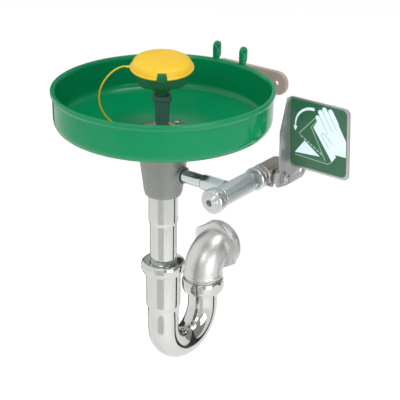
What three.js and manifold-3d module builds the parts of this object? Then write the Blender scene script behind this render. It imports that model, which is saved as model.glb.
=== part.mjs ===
// Wall-mounted emergency eye and face wash station with a P-trap.
// Millimetres, +Z up. The origin is the centre of the wall plate's back face, and +Y points into the wall.
// Inside the "station" group the numbers are counted from the bowl's axis at the height of its rim.
import * as THREE from 'three';
import { mergeVertices } from 'three/addons/utils/BufferGeometryUtils.js';
import Module from 'manifold-3d';

const wasm = await Module();
wasm.setup();

// ---- driving dimensions -------------------------------------------------------------------
const GAP = 0.3; // between pieces that touch
const BOWL_TO_WALL = 190.5; // bowl axis to the wall
const RIM_ABOVE_PLATE = 34.5; // bowl rim above the wall plate's centre
const RIM_R = 139.7; // 11 in bowl
const BOWL_FLOOR_Z = -61.5; // underside of the bowl at its centre
const BOWL_WALL = 3.5;
const BOWL_HOLE_R = 22;
const SCREW_CIRCLE_R = 28;
const SCREW_R = 2;
const PLATE_HALF_WIDTH = 61;
const PLATE_R = 16.3;
const PLATE_THICK = 6;
const PLATE_HOLE_X = 44;
const PLATE_HOLE_R = 3.6;
const BRACKET_RING_THICK = 4.5;
const SUPPLY_Z = -110.5; // height of the supply line
const TEE_X = 109; // axis of strainer tee and ball valve
const STEM_Y = 72; // axis of the valve stem
const NIPPLE_R = 8.57; // 3/8 in pipe
const RISER_TURN = THREE.MathUtils.degToRad(39); // the riser's flat side faces this far round from -Y to +X
const HEAD_TILT = THREE.MathUtils.degToRad(7);
const HEAD_PIVOT_Z = -10;
const CAP_SEAT = 36; // cap rim above the head's pivot, along the head's axis
const TUBE_R = 19.05; // 1 1/2 in tailpiece
const TUBE_SMALL_R = 17.5;
const TRAP_R = 20.4;
const TRAP_HUB_R = 22.6;
const TRAP_BORE_R = 17.9;
const TRAP_Y = 87; // between the trap's two legs
const TRAP_BEND_Z = -337;
const NUT_IN_TOP = -239;
const NUT_OUT_TOP = -300.5;
const NUT_HEIGHT = 18.3;
const OUTLET_Z = -262.5;
const OUTLET_HEX_Y = 111.5;
const OUTLET_FACE_Y = 129.5;
const OUTLET_COLLAR_R = 33.8;
const OUTLET_HEX_FLATS = 64.5;
const SHEET = 2.3; // push handle's sheet
const HANDLE_X = 136; // outer face of the push handle's side plate
const SIGN_RIGHT_X = 222;
const SIGN_LOW = { y: 84, z: -96.2 }; // front face of the sign, bottom and top edges
const SIGN_HIGH = { y: 77, z: -2.3 };

// ---- solid modelling helpers --------------------------------------------------------------
function signedVolume(position, index) {
  const [a, b, c] = [new THREE.Vector3(), new THREE.Vector3(), new THREE.Vector3()];
  let volume = 0;
  for (let i = 0; i < index.length; i += 3) {
    a.fromBufferAttribute(position, index[i]);
    b.fromBufferAttribute(position, index[i + 1]);
    c.fromBufferAttribute(position, index[i + 2]);
    volume += a.dot(b.cross(c)) / 6;
  }
  return volume;
}

// One closed skin: shared corners merged, empty triangles dropped, faces turned outwards.
function closed(source) {
  const loose = source.clone();
  for (const name of Object.keys(loose.attributes)) {
    if (name !== 'position') loose.deleteAttribute(name);
  }
  const geometry = mergeVertices(loose, 1e-4);
  const corners = geometry.index.array;
  const index = [];
  for (let i = 0; i < corners.length; i += 3) {
    const [a, b, c] = [corners[i], corners[i + 1], corners[i + 2]];
    if (a !== b && b !== c && c !== a) index.push(a, b, c);
  }
  if (signedVolume(geometry.attributes.position, index) < 0) index.reverse();
  geometry.setIndex(index);
  return geometry;
}

function toManifold(source) {
  const geometry = closed(source);
  return new wasm.Manifold(new wasm.Mesh({
    numProp: 3,
    vertProperties: new Float32Array(geometry.attributes.position.array),
    triVerts: new Uint32Array(geometry.index.array),
  }));
}

function toGeometry(manifold) {
  const mesh = manifold.getMesh();
  const geometry = new THREE.BufferGeometry();
  geometry.setAttribute('position', new THREE.BufferAttribute(mesh.vertProperties, 3));
  geometry.setIndex(new THREE.BufferAttribute(mesh.triVerts, 1));
  return geometry;
}

const join = (...parts) => toGeometry(parts.map(toManifold).reduce((all, one) => all.add(one)));
const cut = (base, ...tools) => toGeometry(tools.map(toManifold).reduce((left, tool) => left.subtract(tool),
  toManifold(base)));

// Turned shapes: a profile of [radius, height] pairs round the Z, Y or X axis.
const ABOUT = {
  z: (geometry) => geometry.rotateX(Math.PI / 2),
  y: (geometry) => geometry,
  x: (geometry) => geometry.rotateZ(-Math.PI / 2),
};

function turned(profile, { axis = 'z', at = [0, 0, 0], sides = 24, start = 0 } = {}) {
  const points = profile.map(([r, h]) => new THREE.Vector2(r, h));
  return ABOUT[axis](new THREE.LatheGeometry(points, sides, start)).translate(...at);
}

const rod = (r, low, high, place) => turned([[0, low], [r, low], [r, high], [0, high]], place);
const ring = (inner, outer, low, high, place) => turned(
  [[inner, low], [outer, low], [outer, high], [inner, high], [inner, low]], place);
const hexBar = (flats, low, high, place) => rod(flats / Math.sqrt(3), low, high, { sides: 6, ...place });

// Points of a round corner from angle a to angle b about a centre.
function corner(cx, cy, r, a, b, steps = 4) {
  return Array.from({ length: steps + 1 }, (_, i) => {
    const angle = THREE.MathUtils.degToRad(a + ((b - a) * i) / steps);
    return [cx + r * Math.cos(angle), cy + r * Math.sin(angle)];
  });
}

function outline(points, holes = []) {
  const shape = new THREE.Shape(points.map(([x, y]) => new THREE.Vector2(x, y)));
  for (const [x, y, r] of holes) {
    const circle = corner(x, y, r, 0, 330, 11);
    shape.holes.push(new THREE.Path(circle.map(([u, v]) => new THREE.Vector2(u, v))));
  }
  return shape;
}

const plate = (shape, depth) => new THREE.ExtrudeGeometry(shape, { depth, bevelEnabled: false });
// A plate drawn in Y and Z that is thick along X, from x = low to x = high.
const uprightPlate = (shape, low, high) => plate(shape, high - low)
  .rotateX(Math.PI / 2).rotateZ(Math.PI / 2).translate(low, 0, 0);
// A plate drawn in X and Z that is thick along Y, from y = low to y = high.
const facingPlate = (shape, low, high) => plate(shape, high - low)
  .rotateX(Math.PI / 2).translate(0, high, 0);

function sweep(curve, r, sides, steps) {
  const section = new THREE.Shape(corner(0, 0, r, 0, 360 - 360 / sides, sides - 1)
    .map(([x, y]) => new THREE.Vector2(x, y)));
  return new THREE.ExtrudeGeometry(section, { steps, extrudePath: curve, bevelEnabled: false });
}

// A skin through level sections of equal point count, closed by a fan at each end.
function loft(sections) {
  const count = sections[0].points.length;
  const position = sections.flatMap(({ z, points }) => points.flatMap(([x, y]) => [x, y, z]));
  const index = [];
  for (let level = 0; level + 1 < sections.length; level += 1) {
    for (let i = 0; i < count; i += 1) {
      const a = level * count + i;
      const b = level * count + ((i + 1) % count);
      index.push(a, b, b + count, a, b + count, a + count);
    }
  }
  const top = (sections.length - 1) * count;
  for (let i = 1; i + 1 < count; i += 1) {
    index.push(0, i + 1, i, top, top + i, top + i + 1);
  }
  const geometry = new THREE.BufferGeometry();
  geometry.setAttribute('position', new THREE.Float32BufferAttribute(position, 3));
  geometry.setIndex(index);
  return geometry;
}

// A rounded square of half-size h; power 2 is a circle, higher powers are squarer.
function roundedSquare(h, power, count = 24) {
  return Array.from({ length: count }, (_, i) => {
    const angle = (i / count) * 2 * Math.PI;
    const [c, s] = [Math.cos(angle), Math.sin(angle)];
    const r = h / (Math.abs(c) ** power + Math.abs(s) ** power) ** (1 / power);
    return [r * c, r * s];
  });
}

// ---- materials ----------------------------------------------------------------------------
const material = (color, roughness, metalness = 0) => new THREE.MeshStandardMaterial({
  color, roughness, metalness,
});
const MATERIAL = {
  greenPlastic: material(0x1f9a63, 0.25),
  castGrey: material(0x8d8d88, 0.55, 0.6),
  castBrown: material(0x8c7c76, 0.6, 0.5),
  rubber: material(0x1c1c1c, 0.8),
  steel: material(0xb9bcbc, 0.35, 0.9),
  darkPlastic: material(0x2f4a42, 0.45),
  headPlastic: material(0x0f4a33, 0.4),
  whitePlastic: material(0xe8e6dd, 0.4),
  yellowPlastic: material(0xf0bf2d, 0.4),
  chrome: material(0xd4d6d2, 0.12, 1),
  satinChrome: material(0xb4b9b9, 0.35, 1),
  satinNickel: material(0xb9b8b3, 0.45, 0.9),
  label: material(0x2f6b48, 0.4),
};

const station = new THREE.Group();
station.position.set(0, -BOWL_TO_WALL, RIM_ABOVE_PLATE);

function piece(name, geometry, finish, parent = station) {
  const mesh = new THREE.Mesh(closed(geometry), finish.clone());
  mesh.name = name;
  parent.add(mesh);
  return mesh;
}

// ---- bowl, its seal and the cast wall bracket ---------------------------------------------
const screwPlaces = [90, 210, 330].map((degrees) => {
  const angle = THREE.MathUtils.degToRad(degrees);
  return [SCREW_CIRCLE_R * Math.cos(angle), SCREW_CIRCLE_R * Math.sin(angle), 0];
});
const screwHoles = (r, low, high) => screwPlaces.map((at) => rod(r, low, high, { at, sides: 10 }));

const BOWL_FLAT_R = 38;
const FLOOR_TOP_Z = BOWL_FLOOR_Z + BOWL_WALL;
function bowlShell() {
  const outer = [
    ...corner(RIM_R - 1.6, -1.6, 1.6, 90, 0, 1), [RIM_R, -5], [RIM_R - 2.4, -7.2],
    ...corner(RIM_R - 18.9, -34.5, 16.2, 0, -80, 4),
    [BOWL_FLAT_R, BOWL_FLOOR_Z], [BOWL_HOLE_R, BOWL_FLOOR_Z],
  ];
  const inner = [
    [BOWL_HOLE_R, FLOOR_TOP_Z], [BOWL_FLAT_R, FLOOR_TOP_Z],
    ...corner(RIM_R - 24.6, -29.5, 18, -83, 0, 4), [RIM_R - 6.2, -3], [RIM_R - 5.2, -0.8], [RIM_R - 3.6, 0],
  ];
  return turned([...outer, ...inner, outer[0]], { sides: 44 });
}

const EAR = { x: 21.3, thick: 4, y: 139.5, holeZ: 15.7, r: 6.8, holeR: 2 };
function ear(x) {
  const shape = outline([
    [EAR.y - EAR.r, -3], [EAR.y - 1, -9], [EAR.y + EAR.r, 4], ...corner(EAR.y, EAR.holeZ, EAR.r, 0, 180, 8),
  ], [[EAR.y, EAR.holeZ, EAR.holeR]]);
  return uprightPlate(shape, x - EAR.thick / 2, x + EAR.thick / 2);
}

piece('bowl', cut(join(bowlShell(), ear(-EAR.x), ear(EAR.x)), ...screwHoles(2.4, -70, -50)),
  MATERIAL.greenPlastic);

const GASKET_Z = BOWL_FLOOR_Z - GAP - 2;
piece('bowl_gasket', cut(ring(BOWL_HOLE_R, 34, GASKET_Z, GASKET_Z + 2, { sides: 24 }),
  ...screwHoles(2.4, -70, -60)), MATERIAL.rubber);

const BRACKET_RING_TOP = GASKET_Z - GAP;
const BRACKET_RING_LOW = BRACKET_RING_TOP - BRACKET_RING_THICK;
function wallBracket() {
  const wallPlate = facingPlate(outline([
    ...corner(PLATE_HALF_WIDTH - PLATE_R, -RIM_ABOVE_PLATE, PLATE_R, -90, 90, 8),
    ...corner(PLATE_R - PLATE_HALF_WIDTH, -RIM_ABOVE_PLATE, PLATE_R, 90, 270, 8),
  ], [-1, 1].map((side) => [side * PLATE_HOLE_X, -RIM_ABOVE_PLATE, PLATE_HOLE_R])),
  BOWL_TO_WALL - PLATE_THICK, BOWL_TO_WALL);
  const plateFront = BOWL_TO_WALL - PLATE_THICK + 1;
  const top = [[plateFront, -34], [168, -42], [148, -52], [118, -55.5], [40, BRACKET_RING_TOP - 0.6],
    [28, BRACKET_RING_TOP - 0.6]];
  const inner = [[28, BRACKET_RING_LOW], [40, BRACKET_RING_LOW]];
  const flangeLow = [...inner, [118, -60.5], [146, -57.5], [166, -49], [plateFront, -43]];
  const ribLow = [...inner, [70, -74], [120, -70], [152, -64], [plateFront, -50]];
  const flange = uprightPlate(outline([...top, ...flangeLow]), -17, 17);
  const ribs = [-15.5, 0, 15.5].map((x) => uprightPlate(outline([...top, ...ribLow]), x - 1.6, x + 1.6));
  const collar = rod(35.5, BRACKET_RING_LOW, BRACKET_RING_TOP, { sides: 32 });
  const bore = rod(BOWL_HOLE_R, -80, -60);
  return cut(join(wallPlate, flange, ...ribs, collar), bore, ...screwHoles(2.4, -80, -60));
}
piece('wall_bracket', wallBracket(), MATERIAL.castBrown);

// ---- drain body, strainer and screws ------------------------------------------------------
const BODY_TOP = BRACKET_RING_LOW - GAP;
const BODY_LOW = -144.3;
const HUB_TOP = -84;
const TAIL_TOP = -126;
const armAt = { axis: 'x', at: [0, 0, SUPPLY_Z] }; // supply line, across from the body to the tee
function drainBody() {
  const shell = turned([
    [BOWL_HOLE_R, BODY_TOP], [34.4, BODY_TOP], [34, BODY_TOP - 4], [30.6, -93], [24.9, -138],
    [23.5, -142], [21.3, BODY_LOW], [TUBE_R + GAP, BODY_LOW], [TUBE_R + GAP, TAIL_TOP + GAP],
    [TUBE_R - 1.7, TAIL_TOP + GAP], [TUBE_R - 1.7, -121], [24.5, -105], [26.5, -84], [BOWL_HOLE_R, -79],
    [BOWL_HOLE_R, BODY_TOP],
  ], { sides: 28 });
  const hub = rod(10, -120, HUB_TOP);
  const web = rod(3, -28, 0, { ...armAt, sides: 12 });
  const boss = turned([[0, 0], [11.6, 0], [11.6, 32.6], [10.6, 33.6], [0, 33.6]], armAt);
  const socket = rod(NIPPLE_R + GAP, 25, 36, armAt);
  const mouth = rod(9.8, 31.6, 36, armAt);
  const inlet = rod(5.5, 0, 30, { ...armAt, sides: 16 });
  const riserSeat = rod(5.5, SUPPLY_Z, HUB_TOP + 1, { sides: 16 });
  return cut(join(shell, hub, web, boss), socket, mouth, inlet, riserSeat,
    ...screwHoles(SCREW_R + GAP, -80, -60));
}
piece('drain_body', drainBody(), MATERIAL.castGrey);

const STRAINER_LOW = FLOOR_TOP_Z + GAP;
const STRAINER_TOP = STRAINER_LOW + 2.5;
const RISER_STUB_R = 8;
const DRAIN_HOLES = 14;
function drainStrainer() {
  const disc = turned([
    [RISER_STUB_R + GAP, STRAINER_LOW], [34, STRAINER_LOW], [34, STRAINER_LOW + 1.2], [32.5, STRAINER_TOP],
    [RISER_STUB_R + GAP, STRAINER_TOP], [RISER_STUB_R + GAP, STRAINER_LOW],
  ], { sides: 28 });
  const holes = Array.from({ length: DRAIN_HOLES }, (_, i) => {
    const angle = (i / DRAIN_HOLES) * 2 * Math.PI;
    return rod(2.4, -60, -50, { at: [17.3 * Math.cos(angle), 17.3 * Math.sin(angle), 0], sides: 6 });
  });
  return cut(disc, ...holes, ...screwHoles(2.4, -60, -50));
}
piece('drain_strainer', drainStrainer(), MATERIAL.steel);

screwPlaces.forEach((at, i) => {
  const low = STRAINER_TOP + GAP;
  piece(`strainer_screw_${i + 1}`, turned([
    [0, -77], [SCREW_R, -77], [SCREW_R, low], [3.9, low], [3.7, low + 1.2], [2.2, low + 2.1], [0, low + 2.3],
  ], { at, sides: 10 }), MATERIAL.steel);
});

// ---- riser, spray head, cap and tether ----------------------------------------------------
const RISER_TOP = -10;
const RISER_FOOT = STRAINER_TOP + GAP;
function riser() {
  const stem = loft([
    { z: RISER_FOOT, points: roundedSquare(7.6, 6) },
    { z: -45, points: roundedSquare(7.7, 6) },
    { z: RISER_TOP - 8, points: roundedSquare(9.5, 6) },
    { z: RISER_TOP - 5.5, points: roundedSquare(11.4, 6) },
    { z: RISER_TOP - 1, points: roundedSquare(12, 6) },
    { z: RISER_TOP, points: roundedSquare(11.2, 6) },
  ]);
  const stub = rod(RISER_STUB_R, HUB_TOP + GAP, RISER_FOOT + 1);
  const socket = rod(9.2, RISER_TOP - 6, RISER_TOP + 1);
  return cut(join(stem, stub), rod(5, -90, 0, { sides: 16 }), socket);
}
piece('riser', riser(), MATERIAL.darkPlastic).rotation.z = RISER_TURN;

const TETHER_RING_LOW = RISER_FOOT + GAP;
const TETHER_RING_TOP = TETHER_RING_LOW + 2.2;
const LUG_R = 42.5; // tether lug on the cap, from the head's axis
const tetherSide = new THREE.Vector3(-Math.cos(RISER_TURN), -Math.sin(RISER_TURN), 0);

function tetherRing() {
  const band = ring(11, 13.6, TETHER_RING_LOW, TETHER_RING_TOP, { sides: 28 });
  const eye = rod(2.6, TETHER_RING_LOW, TETHER_RING_TOP,
    { at: tetherSide.clone().multiplyScalar(15.2).toArray(), sides: 12 });
  return join(band, eye);
}
piece('tether_ring', tetherRing(), MATERIAL.yellowPlastic);

const head = new THREE.Group();
head.position.set(0, 0, HEAD_PIVOT_Z);
head.rotation.set(0, 0, RISER_TURN);
const headTilt = new THREE.Group(); // leans over the side that faces away from local +Y
headTilt.rotation.x = HEAD_TILT;
head.add(headTilt);
station.add(head);

const DISH_R = 37.5;
function sprayHeadBody() {
  const dish = loft([
    { z: 19, points: roundedSquare(24.5, 5, 28) },
    { z: 21, points: roundedSquare(27, 5, 28) },
    { z: 24.5, points: roundedSquare(28.5, 4.2, 28) },
    { z: 29, points: roundedSquare(33, 2.7, 28) },
    { z: CAP_SEAT - 2.5, points: roundedSquare(36.6, 2.1, 28) },
    { z: CAP_SEAT - 1, points: roundedSquare(DISH_R, 2, 28) },
    { z: CAP_SEAT + 2, points: roundedSquare(DISH_R, 2, 28) },
  ]);
  const stalk = turned([
    [0, -4.5], [7.9, -4.5], [7.9, 8.5], [12.6, 8.8], [13.4, 9.6], [13.4, 13.2], [14.5, 14], [19, 19.5],
    [0, 19.5],
  ], { sides: 24 });
  const basin = turned([
    [0, 23], [20, 23], [33, CAP_SEAT - 3], [34.8, CAP_SEAT - 2.6], [34.8, CAP_SEAT + 4], [0, CAP_SEAT + 4],
  ], { sides: 28 });
  const waterway = rod(5, -6, 30, { sides: 16 });
  const tab = new THREE.BoxGeometry(8.4, 2.4, 10).translate(0, -(DISH_R - 1.4), CAP_SEAT + 2.7);
  return join(cut(join(dish, stalk), basin, waterway), tab);
}
piece('spray_head_body', sprayHeadBody(), MATERIAL.headPlastic, headTilt);

const NOZZLES = 7;
function sprayPlate() {
  const disc = turned([
    [0, CAP_SEAT - 2], [33.9, CAP_SEAT - 2], [33.9, CAP_SEAT - 0.6], [20, CAP_SEAT + 0.2], [0, CAP_SEAT + 0.4],
  ], { sides: 28 });
  const holes = [-1, 1].flatMap((side) => Array.from({ length: NOZZLES }, (_, i) => {
    const angle = (i / NOZZLES) * 2 * Math.PI;
    const at = [side * 15.5 + 8.5 * Math.cos(angle), 11 * Math.sin(angle), 0];
    return rod(1.1, CAP_SEAT - 3, CAP_SEAT + 2, { at, sides: 5 });
  }));
  return cut(disc, ...holes);
}
piece('spray_plate', sprayPlate(), MATERIAL.whitePlastic, headTilt);
piece('flow_regulator', ring(2.4, 5 - GAP, -1, 7, { sides: 16 }), MATERIAL.steel, headTilt);

const CAP_WALL = 1.5;
function dustCap() {
  const skin = (inset) => [
    [DISH_R + 1.9 - inset, 1.6], [36.6 - inset, 7.4], [34.6 - inset, 9.4 - inset * 0.6],
    [28 - inset, 11.6 - inset], [15, 13 - inset], [0, 13.4 - inset],
  ];
  const shell = turned([
    [DISH_R + 1.9, 0], ...skin(0), ...skin(CAP_WALL).reverse(), [DISH_R + 1.9 - CAP_WALL, 0], [DISH_R + 1.9, 0],
  ], { sides: 32 });
  const opening = outline([[-6.9, -1], [6.9, -1], [6.5, 1.5], [5, 8.3], [-5, 8.3], [-6.5, 1.5]]);
  const notch = facingPlate(opening, -50, -31);
  const lug = join(
    new THREE.BoxGeometry(5.5, 6.4, 1.6).translate(-(LUG_R - 2.75), 0, 0.8),
    rod(3.2, 0, 1.6, { at: [-LUG_R, 0, 0], sides: 14 }),
  );
  return join(cut(shell, notch), cut(lug, rod(38.4, -1, 3, { sides: 32 })));
}
const capGroup = new THREE.Group();
capGroup.position.z = CAP_SEAT;
headTilt.add(capGroup);
piece('dust_cap', dustCap(), MATERIAL.yellowPlastic, capGroup);

// The tether hangs out in a loop from the cap's lug, down to the floor of the bowl and in to the ring.
// Each pair is the distance from the riser's axis and the height.
const TETHER_R = 1.1;
const TETHER_ROUTE = [
  [45.8, 26.2], [49, 26], [55, 24], [62, 19.5], [68.5, 13], [74, 5], [78, -4], [79.5, -13], [79, -22],
  [76, -31], [71, -39.5], [64, -46.5], [55, -51], [45, -53], [35, -53.2], [26, -53], [18.8, -52.9],
];
const tetherCurve = new THREE.CatmullRomCurve3(TETHER_ROUTE.map(([out, z]) => tetherSide.clone()
  .multiplyScalar(out).setZ(z)), false, 'centripetal');
piece('tether_strap', sweep(tetherCurve, TETHER_R, 8, 32), MATERIAL.yellowPlastic);

// ---- supply line: nipple, strainer tee, ball valve ----------------------------------------
const runAt = { axis: 'y', at: [TEE_X, 0, SUPPLY_Z] };
const stemAt = { axis: 'x', at: [0, STEM_Y, SUPPLY_Z] };

piece('supply_nipple', ring(5.5, NIPPLE_R, 25.5, 68, armAt), MATERIAL.satinChrome);

const TEE_FRONT = -28;
const TEE_BACK = 34;
const TEE_NECK_END = 44.5;
function strainerTee() {
  const run = turned([
    [0, TEE_FRONT], [12.2, TEE_FRONT], [12.9, TEE_FRONT + 1.5], [12.9, TEE_BACK - 2], [11.6, TEE_BACK],
    [0, TEE_BACK],
  ], { ...runAt, sides: 28 });
  const neck = hexBar(20.5, TEE_BACK - 1, TEE_NECK_END, { ...runAt, start: Math.PI / 6 });
  const branch = turned([[0, 64.5], [9.2, 64.5], [10, 66], [10, TEE_X], [0, TEE_X]], armAt);
  const chamber = rod(9.6, TEE_FRONT - 1, 22, runAt);
  const outlet = rod(6, 20, TEE_NECK_END + 1, { ...runAt, sides: 16 });
  const side = rod(6, 60, TEE_X, { ...armAt, sides: 16 });
  const socket = rod(NIPPLE_R + GAP, 60, 68 + GAP, armAt);
  return cut(join(run, neck, branch), chamber, outlet, side, socket);
}
piece('strainer_tee', strainerTee(), MATERIAL.satinChrome);
piece('strainer_screen', ring(7.2, 8, -14, 21.5, { ...runAt, sides: 20 }), MATERIAL.steel);
piece('plug_gasket', ring(9.8, 13.6, TEE_FRONT - 2.3, TEE_FRONT - GAP, runAt), MATERIAL.rubber);

const PLUG_BACK = TEE_FRONT - 2.3 - GAP;
function strainerPlug() {
  const blank = turned([
    [0, PLUG_BACK - 17], [9.8, PLUG_BACK - 17], [10.8, PLUG_BACK - 16], [10.8, PLUG_BACK - 13.4],
    [14.6, PLUG_BACK - 13], [15.5, PLUG_BACK - 11.6], [15.5, PLUG_BACK - 6], [13.8, PLUG_BACK - 5],
    [13.8, PLUG_BACK - 3.6], [14.8, PLUG_BACK - 3], [14.8, PLUG_BACK], [9.3, PLUG_BACK],
    [9.3, PLUG_BACK + 14], [0, PLUG_BACK + 14],
  ], { ...runAt, sides: 28 });
  const socket = hexBar(7, PLUG_BACK - 18, PLUG_BACK - 10.5, runAt);
  return cut(blank, socket);
}
piece('strainer_plug', strainerPlug(), MATERIAL.satinChrome);

const END_CAP_FRONT = 52.6;
const BODY_FRONT = 59.4;
const BODY_BACK = 101;
const BALL_R = 9.3;
const PORT_R = 6.2;
piece('union_nut', turned([
  [10.4 + GAP, 44.8], [13.6, 44.8], [14.9, 46.2], [14.9, 50.6], [13.8, END_CAP_FRONT - GAP],
  [10.4 + GAP, END_CAP_FRONT - GAP], [10.4 + GAP, 44.8],
], { ...runAt, sides: 16 }), MATERIAL.satinChrome);
const endCap = join(
  ring(PORT_R, 10.4, 44.8, 62.4, { ...runAt, sides: 20 }),
  cut(hexBar(27, END_CAP_FRONT, BODY_FRONT - GAP, runAt), rod(8, 40, 70, { ...runAt, sides: 20 })),
);
piece('valve_end_cap', endCap, MATERIAL.satinChrome);

function valveBody() {
  const barrel = turned([
    [0, BODY_FRONT], [13.6, BODY_FRONT], [14.6, BODY_FRONT + 1.4], [14.6, BODY_BACK - 3], [13.4, BODY_BACK],
    [0, BODY_BACK],
  ], { ...runAt, sides: 28 });
  const stemBoss = rod(8.6, TEE_X, 124, { ...stemAt });
  const pad = new THREE.BoxGeometry(4, 21, 21).translate(122, STEM_Y, SUPPLY_Z);
  const lug = rod(2.9, 115, 126, { axis: 'x', at: [0, STEM_Y - 9.2, SUPPLY_Z - 9], sides: 12 });
  const mouth = rod(10.4 + GAP, BODY_FRONT - 1, 65.5, { ...runAt, sides: 20 });
  const chamber = rod(BALL_R + 1, 61, 83, { ...runAt, sides: 20 });
  const port = rod(PORT_R, 60, BODY_BACK + 1, { ...runAt, sides: 16 });
  const inlet = rod(10, 86, BODY_BACK + 1, { ...runAt, sides: 20 });
  const stemBore = rod(4.6 + GAP, TEE_X, 134, { ...stemAt, sides: 16 });
  return cut(join(barrel, stemBoss, pad, lug), mouth, chamber, port, inlet, stemBore);
}
piece('valve_body', valveBody(), MATERIAL.satinChrome);
piece('ball_seat_front', ring(7.8, 10, 62.8, 65, { ...runAt, sides: 20 }), MATERIAL.whitePlastic);
piece('ball_seat_rear', ring(7.8, 10, 79, 82.6, { ...runAt, sides: 20 }), MATERIAL.whitePlastic);
piece('packing_nut', cut(hexBar(16, 124.3, 130, { ...stemAt, start: Math.PI / 6 }),
  rod(4.6 + GAP, 120, 135, { ...stemAt, sides: 16 })), MATERIAL.satinChrome);

// The ball's bore stands upright while the valve is shut.
const ball = cut(new THREE.SphereGeometry(BALL_R, 20, 12).translate(TEE_X, STEM_Y, SUPPLY_Z),
  rod(PORT_R, -130, -90, { at: [TEE_X, STEM_Y, 0], sides: 16 }),
  new THREE.BoxGeometry(6, 2.6, 20).translate(TEE_X + BALL_R, STEM_Y, SUPPLY_Z));
piece('valve_ball', ball, MATERIAL.chrome);

const STEM_END = HANDLE_X + 7.2;
function valveStem() {
  const shaft = turned([
    [0, TEE_X + 10], [4.6, TEE_X + 10], [4.6, STEM_END - 1.2], [3.4, STEM_END], [0, STEM_END],
  ], { ...stemAt, sides: 16 });
  const tongue = new THREE.BoxGeometry(4.4, 2, 8).translate(TEE_X + 9, STEM_Y, SUPPLY_Z);
  return join(shaft, tongue);
}
piece('valve_stem', valveStem(), MATERIAL.steel);

// ---- push handle --------------------------------------------------------------------------
const LOBE = { y: 113, z: -111.5, r: 10.8, holeR: 4.8 };
const lean = Math.atan2(SIGN_LOW.y - SIGN_HIGH.y, SIGN_HIGH.z - SIGN_LOW.z);
const signHeight = Math.hypot(SIGN_LOW.y - SIGN_HIGH.y, SIGN_HIGH.z - SIGN_LOW.z);

// A rounded rectangle in the sign's own plane, standing on the sign's bottom edge.
function signPanel(left, right, low, high, r, front, back) {
  const shape = outline([
    ...corner(right - r, low + r, r, -90, 0, 5), ...corner(right - r, high - r, r, 0, 90, 5),
    ...corner(left + r, high - r, r, 90, 180, 5), ...corner(left + r, low + r, r, 180, 270, 5),
  ]);
  return facingPlate(shape, front, back).rotateX(lean).translate(0, SIGN_LOW.y, SIGN_LOW.z);
}

function pushHandle() {
  const side = uprightPlate(outline([
    [SIGN_HIGH.y + 2.2, SIGN_HIGH.z - 3], [SIGN_HIGH.y - 1, SIGN_HIGH.z - 2.5], [64, -42.5], [62.4, -45],
    [63.2, -99], [57.2, -100], ...corner(63.4, -112.8, 7.2, 180, 265, 4), [76, -122], [90, -122.6],
    ...corner(LOBE.y, LOBE.z, LOBE.r, -80, 90, 8), [SIGN_LOW.y + 14, LOBE.z + LOBE.r + 3],
    [SIGN_LOW.y + 2.2, SIGN_LOW.z + 1],
  ], [[STEM_Y, SUPPLY_Z, 4.6 + GAP], [LOBE.y, LOBE.z, LOBE.holeR]]), HANDLE_X - SHEET, HANDLE_X);
  const panel = signPanel(HANDLE_X - SHEET, SIGN_RIGHT_X, 0, signHeight, 7.5, 0, SHEET);
  return join(side, panel);
}
piece('push_handle', pushHandle(), MATERIAL.satinNickel);
piece('sign_label', signPanel(HANDLE_X + 2.6, SIGN_RIGHT_X - 4.6, 4.4, signHeight - 4.4, 5.5, -0.8, -GAP),
  MATERIAL.label);
piece('handle_washer', ring(4.6 + GAP, 8, HANDLE_X + GAP, HANDLE_X + 1.5, { ...stemAt, sides: 20 }),
  MATERIAL.steel);
piece('handle_nut', cut(hexBar(12.7, HANDLE_X + 1.8, STEM_END - 1.3, { ...stemAt, start: Math.PI / 6 }),
  rod(4.6 + GAP, 130, 150, { ...stemAt, sides: 16 })), MATERIAL.steel);

// ---- waste line: tailpiece, slip nuts, trap bend and outlet elbow --------------------------
const TAIL_LOW = -268;
const SWAGE_TOP = -180.5;
const SWAGE_LOW = -185.5;
piece('tailpiece', turned([
  [TUBE_R - 1.4, TAIL_TOP], [TUBE_R, TAIL_TOP], [TUBE_R, SWAGE_TOP], [TUBE_SMALL_R, SWAGE_LOW],
  [TUBE_SMALL_R, TAIL_LOW], [TUBE_SMALL_R - 1.4, TAIL_LOW], [TUBE_SMALL_R - 1.4, SWAGE_LOW],
  [TUBE_R - 1.4, SWAGE_TOP], [TUBE_R - 1.4, TAIL_TOP],
], { sides: 24 }), MATERIAL.chrome);

// A slip nut: rounded shoulder, recess round the tube, and a wide thread bore below.
function slipNut(r, tubeR, threadR, place) {
  return turned([
    [tubeR + 1.2, -6.6], [tubeR + 3, -3.2], [r - 4.4, -1.4], [r - 2.6, 0], [r - 0.7, -2.2], [r, -5],
    [r, -11.5],
    [r - 0.9, -14.4], [r - 2.6, -NUT_HEIGHT], [threadR, -NUT_HEIGHT], [threadR, -8.2], [tubeR + 1.2, -8.2],
    [tubeR + 1.2, -6.6],
  ], { sides: 24, ...place });
}
const HUB_IN_TOP = NUT_IN_TOP - 11.5;
piece('slip_nut_inlet', slipNut(29, TUBE_SMALL_R, TRAP_HUB_R + GAP, { at: [0, 0, NUT_IN_TOP] }), MATERIAL.chrome);
piece('slip_washer_inlet', ring(TUBE_SMALL_R + GAP, TRAP_HUB_R - 0.4, HUB_IN_TOP + GAP, NUT_IN_TOP - 8.2 - GAP),
  MATERIAL.rubber);

const TRAP_END = -303;
// Half a circle in the Y-Z plane, down and round from y = 0 to y = 2R.
function trapArc() {
  const R = TRAP_Y / 2;
  const arc = new THREE.Curve();
  arc.getPoint = (t, target = new THREE.Vector3()) => target.set(
    0, R - R * Math.cos(Math.PI * t), TRAP_BEND_Z - R * Math.sin(Math.PI * t));
  return arc;
}

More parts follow.
